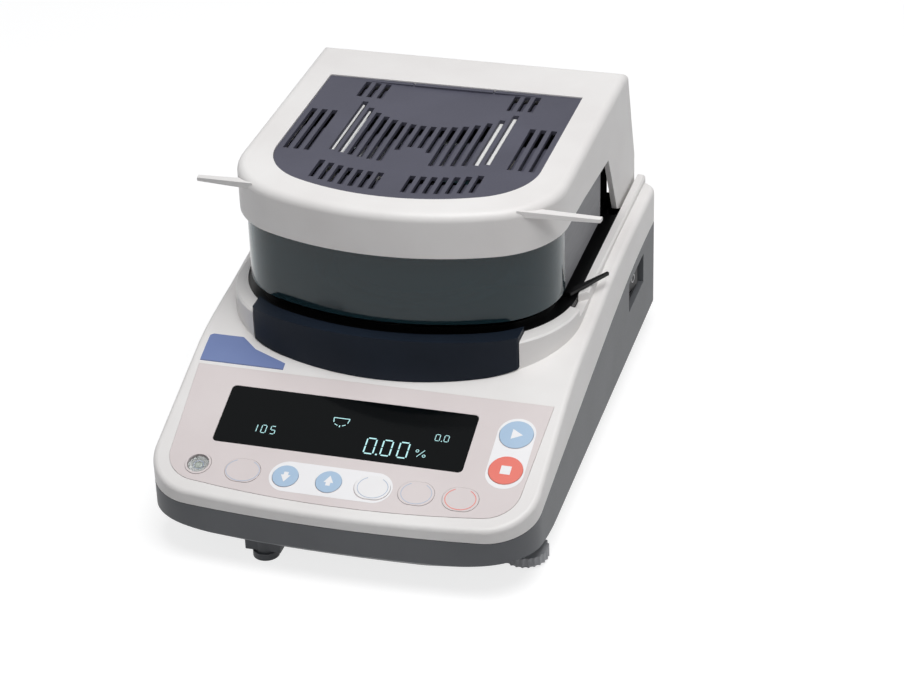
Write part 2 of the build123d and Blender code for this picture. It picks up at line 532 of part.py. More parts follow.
# Lid window, inner walls, grips
glass = prism(lid_plan(GLASS_OFF, 0), GLASS_BOTTOM, LID_TOP - 13)
glass = glass - prism(lid_plan(GLASS_OFF + GLASS_T, 10), 90, LID_TOP)
glass = glass & box(-HALF, HALF, LID_FRONT - 8, -2, 90, LID_TOP)
save(glass, "lid_window")
grip_cut = prism(lid_plan(-0.1, REAR), 88, LID_TOP + 0.1)
grip_cut = fillet(grip_cut.faces().sort_by(Axis.Z)[-1].edges(), 5.0)
for sx, side in ((-1, "left"), (1, "right")):
    x0 = sx * (LID_HALF - GLASS_OFF - 2.3)
    x1 = sx * (LID_HALF - GLASS_OFF - 0.1)
    mid = SKIRT_Z - 0.8
    liner = side_prism([(-1.6, GLASS_BOTTOM), (LINER_BACK - 2, GLASS_BOTTOM), (LINER_BACK, mid - 7),
                        (LINER_BACK, mid), (LINER_BACK + 16, LID_TOP - 23), (LINER_BACK + 16, LID_TOP - 13),
                        (-1.6, LID_TOP - 13)], x0, x1)
    fold = side_prism([(LINER_BACK - 4, GLASS_BOTTOM), (LINER_BACK + 2, GLASS_BOTTOM),
                       (LINER_BACK + 4, mid - 8), (LINER_BACK - 2, mid - 8)], x0 - sx * 1.7, x0 + sx * 0.1)
    save(liner + fold, "lid_liner_" + side)
    tx = LID_HALF + 21.5
    fin = prism(Polygon((tx - 41, -43.2), (tx - 0.4, -22.8), (tx, -18.9), (tx - 39, -36.8), align=None),
                LID_TOP - 30, LID_TOP + 5)
    slope = Plane.XZ * make_face(Polyline((tx, LID_TOP - 12), (tx, LID_TOP - 14), (tx - 41, LID_TOP - 4.6),
                                          (tx - 41, LID_TOP - 0.9), close=True))
    fin = (fin & extrude(slope, 90, both=True)) - grip_cut
    if sx < 0:
        fin = mirror(fin, Plane.YZ)
    save(fin, "lid_grip_" + side)

# Heater
frame_plate = prism(lid_plan(GLASS_OFF + GLASS_T + 0.4, SHIELD_Y + 16), FRAME_Z, FRAME_Z + 1.5)
frame_plate = frame_plate - pan_cyl(FRAME_Z - 12, FRAME_Z + 8, FILTER_R + GAP)
save(frame_plate, "filter_frame")
save(box(6.5 - LID_HALF, LID_HALF - 6.5, SHIELD_Y - 1.5, SHIELD_Y, GLASS_BOTTOM, FRAME_Z - 0.2), "rear_shield")
save(pan_cyl(FRAME_Z - 0.5, FRAME_Z + 2, FILTER_R), "heat_filter")
save(cyl_x(CHAMBER_Y, LAMP_Z, -48, 48, 4.5), "halogen_lamp")
reflector = cyl_x(CHAMBER_Y, LAMP_Z, -36, 36, 11) - cyl_x(CHAMBER_Y, LAMP_Z, -40, 40, 10)
reflector = reflector - box(-50, 50, CHAMBER_Y - 20, CHAMBER_Y + 20, LAMP_Z - 23, LAMP_Z)
save(reflector, "lamp_reflector")
strips = []
holders = []
for sx in (-1, 1):
    s = box(sx * 38, sx * 43.2, CHAMBER_Y - 22, CHAMBER_Y + 32, FRAME_Z + 2.3, LID_TOP - 6)
    strips.append(s - cyl_x(CHAMBER_Y, LAMP_Z, sx * 30, sx * 50, 6))
    h = box(sx * 44, sx * 54, CHAMBER_Y - 8, CHAMBER_Y + 8, FRAME_Z + 2.3, LID_TOP - 12)
    holders.append(h - cyl_x(CHAMBER_Y, LAMP_Z, sx * 40, sx * 48.2, 4.6))
save(Part() + strips, "lamp_brackets")
save(Part() + holders, "lamp_holders")
probe = Pos(0, 66, FRAME_Z - 3.5) * Rot(90, 0, 0) * Cylinder(1.2, 40)
save(box(-3, 3, 84, 92, FRAME_Z - 6, FRAME_Z) + probe, "temperature_sensor")
arms = []
for sx in (-1, 1):
    x0 = sx * (LID_HALF - 7.5)
    x1 = sx * (LID_HALF - LID_WALL - GAP)
    a = side_prism([(HINGE_Y - 7, HINGE_Z), (HINGE_Y + 7, HINGE_Z), (HINGE_Y + 7, 112), (HINGE_Y - 22, 118),
                    (HINGE_Y - 22, 100)], x0, x1)
    a = a + cyl_x(HINGE_Y, HINGE_Z, x0, x1, 7)
    arms.append(a - cyl_x(HINGE_Y, HINGE_Z, -HALF, HALF, HINGE_PIN_R + HINGE_CLEAR))
save(Part() + arms, "lid_hinge_arms")
screws = []
for sx in (-1, 1):
    for sy in SCREW_YS:
        head = cyl(sx * SCREW_X, sy, BASE_BOTTOM + 0.2, BASE_BOTTOM + 2, 3.2)
        screws.append(head + cyl(sx * SCREW_X, sy, BASE_BOTTOM + 2, BASE_BOTTOM + 10, 1.5))
save(Part() + screws, "housing_screws")
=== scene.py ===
# %% [markdown]
# # Moisture analyser
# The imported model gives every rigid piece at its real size. This notebook sets up the
# photograph's camera, gives each piece the finish of its real material, and adds what is
# printed, lit or moulded too finely for the construction model.

# %% Load the frame
import math
import bpy
import bmesh
from mathutils import Matrix, Vector


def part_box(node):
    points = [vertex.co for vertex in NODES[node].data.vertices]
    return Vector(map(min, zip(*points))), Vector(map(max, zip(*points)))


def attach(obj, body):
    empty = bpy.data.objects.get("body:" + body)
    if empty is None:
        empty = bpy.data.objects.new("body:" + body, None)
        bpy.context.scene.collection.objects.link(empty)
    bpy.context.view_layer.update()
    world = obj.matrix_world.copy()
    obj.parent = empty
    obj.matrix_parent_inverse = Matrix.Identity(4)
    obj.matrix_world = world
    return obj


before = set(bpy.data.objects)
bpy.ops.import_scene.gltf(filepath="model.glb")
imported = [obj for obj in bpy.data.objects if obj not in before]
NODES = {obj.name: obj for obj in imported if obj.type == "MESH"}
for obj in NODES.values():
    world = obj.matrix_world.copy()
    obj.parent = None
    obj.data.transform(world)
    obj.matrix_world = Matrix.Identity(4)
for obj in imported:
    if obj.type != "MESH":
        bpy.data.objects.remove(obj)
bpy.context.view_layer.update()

# %% [markdown]
# ## Camera
# The lens, the distance and the angles were fitted to the object's edges in the photograph.
# The camera looks down from the right front, about thirty degrees above the bench.

# %% Camera
MM = 0.001
CAMERA_AT = Vector((400.5, -1240.4, 818.4)) * MM
CAMERA_ANGLES = (16.93, 30.27, -1.97)
SENSOR_MM = 36.0
LENS_MM = 105.43


def axes(azimuth, elevation, roll):
    """The camera's right, up and backward directions from its angles in degrees."""
    a = math.radians(azimuth)
    e = math.radians(elevation)
    r = math.radians(roll)
    back = Vector((math.sin(a) * math.cos(e), -math.cos(a) * math.cos(e), math.sin(e)))
    side = Vector((0, 0, 1)).cross(back).normalized()
    up = back.cross(side)
    right = math.cos(r) * side + math.sin(r) * up
    top = math.cos(r) * up - math.sin(r) * side
    return right, top, back


right, top, back = axes(*CAMERA_ANGLES)
bpy.ops.object.camera_add(location=(0, 0, 0))
camera = bpy.context.object
camera.name = "photo_camera"
place = Matrix((right, top, back)).transposed().to_4x4()
place.translation = CAMERA_AT
camera.matrix_world = place
camera.data.sensor_width = SENSOR_MM
camera.data.lens = LENS_MM
camera.data.clip_start = 0.05
camera.data.clip_end = 20.0
bpy.context.scene.camera = camera
print("camera", [round(c, 3) for c in CAMERA_AT], "lens", LENS_MM)

# %% [markdown]
# ## Studio
# A pale floor and large soft lamps, as for a catalogue picture. Most of the light comes from
# above, so the tops are pale and the fronts fall into half-shade. A white background could
# come from more light, but that would bleach the object. Here the floor and the world are
# white only to rays that show them directly, through Light Path.

# %% Floor, world and lamps
scene = bpy.context.scene
scene.view_settings.view_transform = "Standard"


def only(obj):
    bpy.ops.object.select_all(action="DESELECT")
    obj.select_set(True)
    bpy.context.view_layer.objects.active = obj


bpy.ops.object.select_all(action="DESELECT")
bpy.ops.mesh.primitive_plane_add(size=8.0, location=(0, 0, -0.0002))
floor = bpy.context.object
floor.name = "floor"
only(floor)
bpy.ops.object.transform_apply(location=True, rotation=True, scale=True)


def linear(hex_colour):
    """An sRGB hex colour as the linear colour that a socket takes."""
    out = []
    for k in (0, 2, 4):
        c = int(hex_colour[k:k + 2], 16) / 255
        out.append(c / 12.92 if c <= 0.04045 else ((c + 0.055) / 1.055) ** 2.4)
    return (*out, 1.0)


def add(tree, kind, settings=None, links=None):
    """One shader node with its settings and the outputs that feed its inputs."""
    node = tree.nodes.new(kind)
    for name, value in (settings or {}).items():
        if name in node.inputs:
            node.inputs[name].default_value = value
        else:
            setattr(node, name, value)
    for name, source in (links or {}).items():
        tree.links.new(source, node.inputs[name])
    return node


def new_material(name):
    mat = bpy.data.materials.new(name)
    mat.use_nodes = True
    tree = mat.node_tree
    tree.nodes.clear()
    return mat, tree


def seen_directly(tree):
    """1 for the rays that show the background itself, in metal and glass too."""
    path = add(tree, "ShaderNodeLightPath")
    mirror = add(tree, "ShaderNodeMath", {"operation": "MAXIMUM"})
    tree.links.new(path.outputs["Is Glossy Ray"], mirror.inputs[0])
    tree.links.new(path.outputs["Is Transmission Ray"], mirror.inputs[1])
    seen = add(tree, "ShaderNodeMath", {"operation": "MAXIMUM"})
    tree.links.new(path.outputs["Is Camera Ray"], seen.inputs[0])
    tree.links.new(mirror.outputs[0], seen.inputs[1])
    return seen.outputs[0]


# Paper white plus a faint diffuse part: the sum is white, and the object's shadow takes the
# faint part away, so it stays visible
floor_mat, t = new_material("pale studio floor")
paint = add(t, "ShaderNodeBsdfDiffuse", {"Color": linear("BEBEBE")})
faint = add(t, "ShaderNodeBsdfDiffuse", {"Color": (0.36, 0.36, 0.36, 1)})
paper = add(t, "ShaderNodeEmission", {"Color": (1, 1, 1, 1), "Strength": 0.78})
sheet = add(t, "ShaderNodeAddShader")
t.links.new(faint.outputs[0], sheet.inputs[0])
t.links.new(paper.outputs[0], sheet.inputs[1])
choose = add(t, "ShaderNodeMixShader", links={"Fac": seen_directly(t)})
t.links.new(paint.outputs[0], choose.inputs[1])
t.links.new(sheet.outputs[0], choose.inputs[2])
add(t, "ShaderNodeOutputMaterial", links={"Surface": choose.outputs[0]})
floor.data.materials.append(floor_mat)

world = bpy.data.worlds.new("studio")
scene.world = world
world.use_nodes = True
t = world.node_tree
t.nodes.clear()
soft = add(t, "ShaderNodeBackground", {"Color": (0.93, 0.95, 1.0, 1), "Strength": 0.2})
white = add(t, "ShaderNodeBackground", {"Color": (1, 1, 1, 1), "Strength": 1.0})
mix = add(t, "ShaderNodeMixShader", links={"Fac": seen_directly(t)})
t.links.new(soft.outputs[0], mix.inputs[1])
t.links.new(white.outputs[0], mix.inputs[2])
add(t, "ShaderNodeOutputWorld", links={"Surface": mix.outputs[0]})


def lamp(name, where, aim, size, watts):
    bpy.ops.object.light_add(type="AREA", location=where)
    light = bpy.context.object
    light.name = name
    light.data.shape = "DISK"
    light.data.size = size
    light.data.energy = watts
    light.rotation_euler = (Vector(aim) - Vector(where)).to_track_quat("-Z", "Y").to_euler()
    return light


# name, place and aim in metres, diameter in metres, watts
lamp("overhead softbox", (0.3, -0.3, 1.6), (0, 0, 0.1), 1.2, 20.5)
lamp("front softbox", (-0.9, -1.5, 0.9), (0, 0, 0.08), 1.0, 0.3)
lamp("right fill", (1.8, -0.1, 0.7), (0, 0, 0.08), 1.0, 0.6)

# %% [markdown]
# ## Finishes
# A moulded plastic is never one flat colour: the tool steel leaves a fine grain, the gate
# and the wall thickness shift the shade a little, and handling polishes it unevenly. Each
# finish below mixes two near colours with a slow noise and takes its grain from real sizes.
# One function makes them all, so that a piece is told by its colour, grain and sheen alone.


def moulded(name, shade, shade_2, rough, grain_mm, bump, gloss=0.5):
    """A plastic or ink: two near colours, a roughness, a grain size, its depth, its sheen."""
    mat, tree = new_material(name)
    co = add(tree, "ShaderNodeTexCoord").outputs["Object"]
    slow = add(tree, "ShaderNodeTexNoise", {"Scale": 18.0, "Detail": 3.0}, {"Vector": co})
    ramp = add(tree, "ShaderNodeValToRGB", links={"Fac": slow.outputs["Fac"]})
    ramp.color_ramp.elements[0].position = 0.35
    ramp.color_ramp.elements[1].position = 0.7
    ramp.color_ramp.elements[0].color = linear(shade)
    ramp.color_ramp.elements[1].color = linear(shade_2)
    grain = add(tree, "ShaderNodeTexNoise", {"Scale": 1000 / grain_mm, "Detail": 2.0},
                {"Vector": co})
    dull = add(tree, "ShaderNodeMapRange", {"To Min": rough - 0.05, "To Max": rough + 0.07},
               {"Value": grain.outputs["Fac"]})
    height = add(tree, "ShaderNodeBump", {"Strength": bump, "Distance": 0.0002},
                 {"Height": grain.outputs["Fac"]})
    skin = add(tree, "ShaderNodeBsdfPrincipled", {"IOR": 1.5, "Specular IOR Level": gloss},
               {"Base Color": ramp.outputs["Color"], "Roughness": dull.outputs["Result"],
                "Normal": height.outputs["Normal"]})
    add(tree, "ShaderNodeOutputMaterial", links={"Surface": skin.outputs[0]})
    return mat


def dress(mat, *names):
    """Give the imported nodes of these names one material."""
    for name in names:
        mesh = NODES[name].data
        mesh.materials.clear()
        mesh.materials.append(mat)
    print(mat.name, "on", len(names))


# ABS, spark-eroded tool: a warm white with a 0.6 mm grain, dull sheen
case_white = moulded("moulded ABS warm white", "E9E6E4", "F0EEEC", 0.42, 0.6, 0.10)
dress(case_white, "upper_housing", "lid_shell", "lid_grip_left", "lid_grip_right")
# ABS with a coarser 0.8 mm grain hides scuffs near the bench
case_grey = moulded("moulded ABS dark grey", "626467", "6A6C6F", 0.5, 0.8, 0.16, 0.3)
dress(case_grey, "lower_housing", "front_stub_foot")
# acetal, tumbled after moulding: pale and waxy, so the wheel stands out from the housing
foot_grey = moulded("moulded acetal light grey", "AEAFB2", "B8B9BC", 0.45, 0.6, 0.1)
dress(foot_grey, "levelling_wheel_left", "levelling_wheel_right")
# heat-resistant polyester, finely eroded: almost black, with a blue cast where light grazes
band_navy = moulded("moulded heat-resistant navy", "141B25", "1A222E", 0.45, 0.5, 0.12, 0.15)
dress(band_navy, "collar_band")
# the same resin in slate grey, coarsely eroded: a dry, dusty sheen under the lamps
vent_slate = moulded("moulded heat-resistant slate", "4B4B57", "535360", 0.55, 0.9, 0.25, 0.2)
dress(vent_slate, "lid_grille")
# glass-filled nylon, as moulded: dull black, so sockets read as dark openings
panel_black = moulded("moulded black fittings", "0D0E10", "141517", 0.45, 0.5, 0.1, 0.25)
dress(panel_black, "power_rocker", "switch_frame", "power_inlet", "fuse_holder",
      "key_switches", "display_module")
# cured solder mask: a glossy deep green with the weave of the board under it
boards = moulded("solder mask green", "1F4A33", "275A3E", 0.35, 1.5, 0.05)
dress(boards, "main_board", "power_board", "key_board")
# glazed steatite, fired: a warm off-white that shines softly
porcelain = moulded("glazed steatite", "D9D3C6", "E2DCCF", 0.25, 1.2, 0.03)
dress(porcelain, "lamp_holders")
# moulded rubber: no highlight, only a grey bloom
feet_rubber = moulded("moulded black rubber", "1A1A1A", "222222", 0.8, 0.7, 0.2, 0.3)
dress(feet_rubber, "rear_feet", "levelling_pad_left", "levelling_pad_right")
# laminated iron dipped in varnish: dark, slightly wet-looking
varnished = moulded("varnished iron core", "2A2C30", "34373C", 0.45, 1.0, 0.1)
dress(varnished, "transformer")

# %% [markdown]
# ## Printed film
# The control panel is a polyester film, printed on the back in a pale pinkish grey and
# lightly embossed. The keys are the same film, in other inks. A film has a very fine, even
# grain and a flat sheen, so the plastic's function serves with a smaller grain.

# %% Films
# ink behind matt film: soft even colours, with hardly any relief
film = moulded("printed polyester film pale pink", "DCD2D1", "E2D9D8", 0.4, 0.35, 0.05)
dress(film, "control_membrane", "key_program", "key_enter", "key_reset", "level_ring")
film_white = moulded("printed polyester film white", "F1EFF0", "F6F5F5", 0.4, 0.35, 0.05)
dress(film_white, "key_select", "level_cup")
film_blue = moulded("printed polyester film light blue", "A9C4DE", "B4CDE5", 0.4, 0.35, 0.05)
dress(film_blue, "key_down", "key_up", "key_start")
film_coral = moulded("printed polyester film coral", "EC7466", "F08274", 0.4, 0.35, 0.05)
dress(film_coral, "key_stop")
# glossier film: the slate blue deepens and takes a clearer highlight
plate_blue = moulded("printed film slate blue", "6A7CAE", "7486B4", 0.35, 0.4, 0.04)
dress(plate_blue, "label_plate")

# %% [markdown]
# ## Metals
# Rolled and brushed metals reflect in streaks. A noise stretched along one axis by a
# Mapping node gives the streaks; the shader stays fully metallic with the default IOR.
# Enamelled and painted sheet keeps the rolling streaks under its coat, so the same function
# makes it with little or no metal in it.

# %% Metals


def brushed(name, shade, rough, streak_mm, metal=1.0, gloss=0.5):
    """A sheet metal: colour, roughness, width of its streaks, how bare it is, its sheen."""
    mat, tree = new_material(name)
    co = add(tree, "ShaderNodeTexCoord").outputs["Object"]
    along = add(tree, "ShaderNodeMapping", {"Scale": (1.0, 0.05, 1.0)}, {"Vector": co})
    lines = add(tree, "ShaderNodeTexNoise", {"Scale": 1000 / streak_mm, "Detail": 2.0},
                {"Vector": along.outputs[0]})
    dull = add(tree, "ShaderNodeMapRange", {"To Min": rough - 0.06, "To Max": rough + 0.1},
               {"Value": lines.outputs["Fac"]})
    height = add(tree, "ShaderNodeBump", {"Strength": 0.08, "Distance": 0.0001},
                 {"Height": lines.outputs["Fac"]})
    skin = add(tree, "ShaderNodeBsdfPrincipled",
               {"Base Color": linear(shade), "Metallic": metal, "Specular IOR Level": gloss},
               {"Roughness": dull.outputs["Result"], "Normal": height.outputs["Normal"]})
    add(tree, "ShaderNodeOutputMaterial", links={"Surface": skin.outputs[0]})
    return mat


# brushed stainless steel: cool grey, with highlights drawn out into lines
steel = brushed("brushed stainless steel", "B9BABD", 0.3, 0.5)
dress(steel, "pan_support", "housing_screws", "temperature_sensor", "serial_connector",
      "chamber_tub")
# polished strip: a near mirror that flashes white or black
bright = brushed("polished steel strip", "E4E5E8", 0.14, 0.8)
dress(bright, "lamp_brackets")
# anodised aluminium, spun or drawn: paler than steel, with a milky sheen
spun = brushed("anodised aluminium", "C9CACC", 0.32, 0.6)
dress(spun, "sample_pan", "draft_ring", "lamp_reflector", "weigh_cell", "weigh_cell_base")
# baked stove enamel on the rim, the handle and the shield: deep black, so gaps and wells behind it
# look bottomless. The steel hinge brackets and hinge arms take the same black as painted shade of
# the hinge well
black_enamel_and_shade = brushed("black enamel and painted hinge shade", "060607", 0.3, 1.0, 0.0, 0.2)
dress(black_enamel_and_shade, "chamber_rim", "pan_handle", "rear_shield", "hinge_brackets", "lid_hinge_arms")
# grey stove paint on sheet: flat mid grey with a trace of the metal's own sheen
painted = brushed("grey painted steel", "5C5D62", 0.4, 0.9, 0.3, 0.3)
dress(painted, "lid_liner_left", "lid_liner_right", "filter_frame")

# %% [markdown]
# ## Glass
# The lid's window is smoked polycarbonate: it lets a little light through, stained a deep
# sea green. The display is a hard-coated black filter, nearly opaque from outside. A slow
# haze on the roughness keeps the panes from looking like computer glass.

# %% Glasses


def glazing(name, stain, rough, see_through, gloss=0.5):
    """A clear or stained pane: stain, roughness, how much light passes, its sheen."""
    mat, tree = new_material(name)
    co = add(tree, "ShaderNodeTexCoord").outputs["Object"]
    haze = add(tree, "ShaderNodeTexNoise", {"Scale": 30.0, "Detail": 4.0}, {"Vector": co})
    dull = add(tree, "ShaderNodeMapRange", {"To Min": rough, "To Max": rough + 0.05},
               {"Value": haze.outputs["Fac"]})
    skin = add(tree, "ShaderNodeBsdfPrincipled",
               {"Base Color": linear(stain), "IOR": 1.5, "Transmission Weight": see_through,
                "Specular IOR Level": gloss},
               {"Roughness": dull.outputs["Result"]})
    add(tree, "ShaderNodeOutputMaterial", links={"Surface": skin.outputs[0]})
    return mat


# smoked polycarbonate, drape-formed: dark sea green, with the chamber faintly behind it
smoked = glazing("smoked polycarbonate", "2C525C", 0.06, 0.72, 0.25)
dress(smoked, "lid_window")
# drawn and ground borosilicate: seen only by its edges and highlights
clear = glazing("clear borosilicate glass", "F2F5F4", 0.02, 0.95)
dress(clear, "heat_filter", "halogen_lamp", "level_vial")
# coated filter: black and smooth, with reflections held down so that figures stay legible
filter_black = glazing("black display filter", "030608", 0.05, 0.0, 0.1)
dress(filter_black, "display_window")

# %% [markdown]
# ## Printed marks on the panel
# The film carries a few flat inks. On the real part they are screen-printed behind the
# film, a few hundredths of a millimetre thick. Here each ink is a thin piece of its own
# that lies on the film, which survives the export and takes any shape. They are drawn flat,
# in millimetres along the panel's own plane, and one matrix tips them onto it.

# %% Panel plane and edit-mode helpers
PANEL_TILT = math.radians(19.085)
PANEL_TOP = Vector((0, -73.7, 72.8)) * MM
PANEL = Matrix.Translation(PANEL_TOP) @ Matrix.Rotation(PANEL_TILT, 4, "X")
INK_T = 0.05
FILM_LIFT = 0.2
KEY_LIFT = 0.45
PRINT_LIFT = FILM_LIFT + 0.02
MARK_LIFT = KEY_LIFT + 0.01
HERE = Matrix.Identity(4)


def pick(obj, kind, test):
    """Enter edit mode with only the parts whose centre passes the test selected."""
    only(obj)
    bpy.ops.object.mode_set(mode="EDIT")
    bpy.ops.mesh.select_mode(type=kind)
    bpy.ops.mesh.select_all(action="DESELECT")
    mesh = bmesh.from_edit_mesh(obj.data)
    parts = {"VERT": mesh.verts, "EDGE": mesh.edges, "FACE": mesh.faces}[kind]
    for part in parts:
        if kind == "VERT":
            centre = part.co
        elif kind == "EDGE":
            centre = (part.verts[0].co + part.verts[1].co) / 2
        else:
            centre = part.calc_center_median()
        if test(centre):
            part.select_set(True)
    bmesh.update_edit_mesh(obj.data)


def object_mode():
    """Leave edit mode, which pick() enters."""
    bpy.ops.object.mode_set(mode="OBJECT")


def apply_modifier(obj, kind, **settings):
    """Add one modifier with its settings and apply it at once."""
    only(obj)
    modifier = obj.modifiers.new(kind.lower(), kind)
    for name, value in settings.items():
        setattr(modifier, name, value)
    bpy.ops.object.modifier_apply(modifier=modifier.name)


def settle(obj, name, mat, body, place=HERE):
    """Name a piece, bake its place into its mesh, give it its finish and let it ride."""
    obj.matrix_world = place @ obj.matrix_world
    only(obj)
    bpy.ops.object.transform_apply(location=True, rotation=True, scale=True)
    obj.name = name
    obj.data.materials.clear()
    obj.data.materials.append(mat)
    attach(obj, body)
    return obj


def join(pieces):
    """Several objects as one mesh."""
    bpy.ops.object.select_all(action="DESELECT")
    for piece in pieces:
        piece.select_set(True)
    bpy.context.view_layer.objects.active = pieces[0]
    bpy.ops.object.join()
    return pieces[0]


# %% [markdown]
# ## Flat ink shapes
# Every mark on the panel is a disc, a capsule, an outline or a straight stroke. A flat curve
# could draw them too, but discs and planes changed in edit mode give clean, even meshes. Each
# is drawn flat and then thickened by Solidify, which also closes its edge.

# %% Discs, capsules, outlines and strokes


def at(x, s, lift):
    """A point on the panel: x to the right, s down the slope, lift off the film."""
    return Vector((x, -s, lift)) * MM


def disc(x, s, lift, rx, ry):
    """A flat ellipse with half axes rx and ry."""
    bpy.ops.object.select_all(action="DESELECT")
    bpy.ops.mesh.primitive_circle_add(vertices=72, radius=1.0, fill_type="NGON",
                                      location=at(x, s, lift))
    obj = bpy.context.object
    obj.scale = (rx * MM, ry * MM, 1)
    only(obj)
    bpy.ops.object.transform_apply(location=True, rotation=True, scale=True)
    return obj


def thicken(obj, t=INK_T):
    """Give a flat shape a thickness of t mm, upwards."""
    apply_modifier(obj, "SOLIDIFY", thickness=t * MM, offset=1.0)
    return obj


def stadium(x, s, r, lift, right=0.0, down=0.0):
    """A disc pulled apart into a capsule, to the right or down the slope."""
    obj = disc(x, s, lift, r, r)
    if right:
        pick(obj, "VERT", lambda c: c.x > x * MM + 1e-6)
    else:
        pick(obj, "VERT", lambda c: c.y < -s * MM - 1e-6)
    bpy.ops.transform.translate(value=(right * MM, -down * MM, 0))
    object_mode()
    return obj


def outline(x, s, lift, rx, ry, line, gap=None):
    """An ellipse of ink, with a gap between two angles from +x, counter-clockwise."""
    obj = disc(x, s, lift, rx, ry)
    pick(obj, "FACE", lambda c: True)
    bpy.ops.mesh.inset(thickness=line * MM)
    bpy.ops.mesh.delete(type="FACE")
    object_mode()
    if gap:
        middle = at(x, s, lift)

        def in_gap(c):
            angle = math.degrees(math.atan2((c.y - middle.y) / ry, (c.x - middle.x) / rx)) % 360
            return gap[0] < angle < gap[1]

        pick(obj, "FACE", in_gap)
        bpy.ops.mesh.delete(type="FACE")
        object_mode()
    return obj


def bar(x0, s0, x1, s1, width, lift):
    """A straight stroke between two panel points."""
    a = at(x0, s0, lift)
    b = at(x1, s1, lift)
    bpy.ops.object.select_all(action="DESELECT")
    bpy.ops.mesh.primitive_plane_add(size=1.0, location=(a + b) / 2)
    obj = bpy.context.object
    obj.scale = ((b - a).length, width * MM, 1)
    obj.rotation_euler.z = math.atan2(b.y - a.y, b.x - a.x)
    only(obj)
    bpy.ops.object.transform_apply(location=True, rotation=True, scale=True)
    return obj


KEY_MARGIN = 0.25


def cut_keys(obj, keys):
    """Clear a printed field round its keys; a long key is a round one pulled apart."""
    for name, stretch in keys.items():
        low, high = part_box(name)
        centre = (Vector(low) + Vector(high)) / 2
        radius = (high[0] - low[0]) / 2 + (KEY_MARGIN - stretch) * MM
        bpy.ops.object.select_all(action="DESELECT")
        bpy.ops.mesh.primitive_cylinder_add(vertices=64, radius=radius, depth=0.02)
        tool = bpy.context.object
        for sx in (-1, 1):
            pick(tool, "VERT", lambda c: sx * c.x > 1e-5)
            bpy.ops.transform.translate(value=(sx * stretch * MM, 0, 0))
            object_mode()
        tool.matrix_world = Matrix.Translation(centre) @ Matrix.Rotation(PANEL_TILT, 4, "X")
        apply_modifier(obj, "BOOLEAN", object=tool, operation="DIFFERENCE", solver="EXACT")
        bpy.data.objects.remove(tool)


# %% [markdown]
# ## Inks
# Opaque screen inks, matt under the film. The display's segments glow a pale blue-green,
# so they carry their own light, at the level at which the colour looks as it is written. A
# fine noise stands for the mesh grid in front of real segments.

# %% Ink and segment materials
ink_white = moulded("screen ink white", "F4F3F4", "F8F7F8", 0.45, 0.35, 0.02)
ink_line = moulded("screen ink grey blue", "B4BFD2", "BCC6D7", 0.45, 0.35, 0.02)
ink_red = moulded("screen ink coral", "EE7C70", "F08478", 0.45, 0.35, 0.02)

# phosphor behind its grid: a pale blue-green that looks lit and slightly uneven
segments_lit, t = new_material("vacuum fluorescent segment")
co = add(t, "ShaderNodeTexCoord").outputs["Object"]
grid = add(t, "ShaderNodeTexNoise", {"Scale": 2500.0, "Detail": 1.0}, {"Vector": co})
glow = add(t, "ShaderNodeMapRange", {"To Min": 1.0, "To Max": 1.4}, {"Value": grid.outputs["Fac"]})
skin = add(t, "ShaderNodeBsdfPrincipled",
           {"Base Color": linear("101818"), "Roughness": 0.4, "Emission Color": linear("B4E6E8")},
           {"Emission Strength": glow.outputs["Result"]})
add(t, "ShaderNodeOutputMaterial", links={"Surface": skin.outputs[0]})

# %% [markdown]
# ## Key fields and outlines
# White capsules gather the keys that belong together, and thin rings, open at the top, mark
# the film keys. Both are ink, so both are drawn flat and made a few hundredths thick. A field
# lies on the fixed film, while each ring moves with its key.

# %% Capsule fields and key outlines
KEY_ROW_S = 68.9
SELECT_STRETCH = 2.1
capsule = thicken(stadium(-28.7, KEY_ROW_S, 10.0, PRINT_LIFT, right=48.2))
settle(capsule, "adjust_keys_field", ink_white, "base", PANEL)
cut_keys(capsule, {"key_down": 0, "key_up": 0, "key_select": SELECT_STRETCH})
actions = thicken(stadium(85.7, 21.4, 10.4, PRINT_LIFT, down=26.8))
settle(actions, "action_keys_field", ink_white, "base", PANEL)
cut_keys(actions, {"key_start": 0, "key_stop": 0})

RING_LINE = 0.42
RING_GAP = (62, 118)
# place along x, half width, half height, ink
OUTLINES = {
    "key_program": (-53.9, 9.5, 7.4, ink_line),
    "key_select": (18.8, 8.5, 7.1, ink_line),
    "key_enter": (42.8, 8.5, 7.1, ink_line),
    "key_reset": (66.8, 8.5, 7.1, ink_red),
}
for key, (x, rx, ry, ink) in OUTLINES.items():
    ring = thicken(outline(x, KEY_ROW_S, MARK_LIFT, rx, ry, RING_LINE, RING_GAP))
    settle(ring, key + "_outline", ink, key, PANEL)
print("outlines", len(OUTLINES))

# %% [markdown]
# ## Marks on the keys
# The two round keys carry an arrow each. The two action keys carry the plain signs for go
# and halt, a triangle and a square, in white. A circle of three corners is a triangle, so one
# helper gives the arrow heads and the go sign.

# %% Key marks


def triangle(x, s, radius, turn):
    """A flat triangle whose first corner points up the slope, turned counter-clockwise."""
    bpy.ops.object.select_all(action="DESELECT")
    bpy.ops.mesh.primitive_circle_add(vertices=3, radius=radius * MM, fill_type="NGON",
                                      location=at(x, s, MARK_LIFT), rotation=(0, 0, turn))
    obj = bpy.context.object
    bpy.ops.object.transform_apply(location=True, rotation=True, scale=True)
    return obj


def arrow(x, way):
    """A head and a shaft on the key row; way is 1 for up and -1 for down."""
    head = triangle(x, KEY_ROW_S - way * 0.9, 3.1, 0 if way > 0 else math.pi)
    shaft = bar(x, KEY_ROW_S + way * 0.65, x, KEY_ROW_S + way * 2.7, 2.5, MARK_LIFT)
    return thicken(join([head, shaft]))


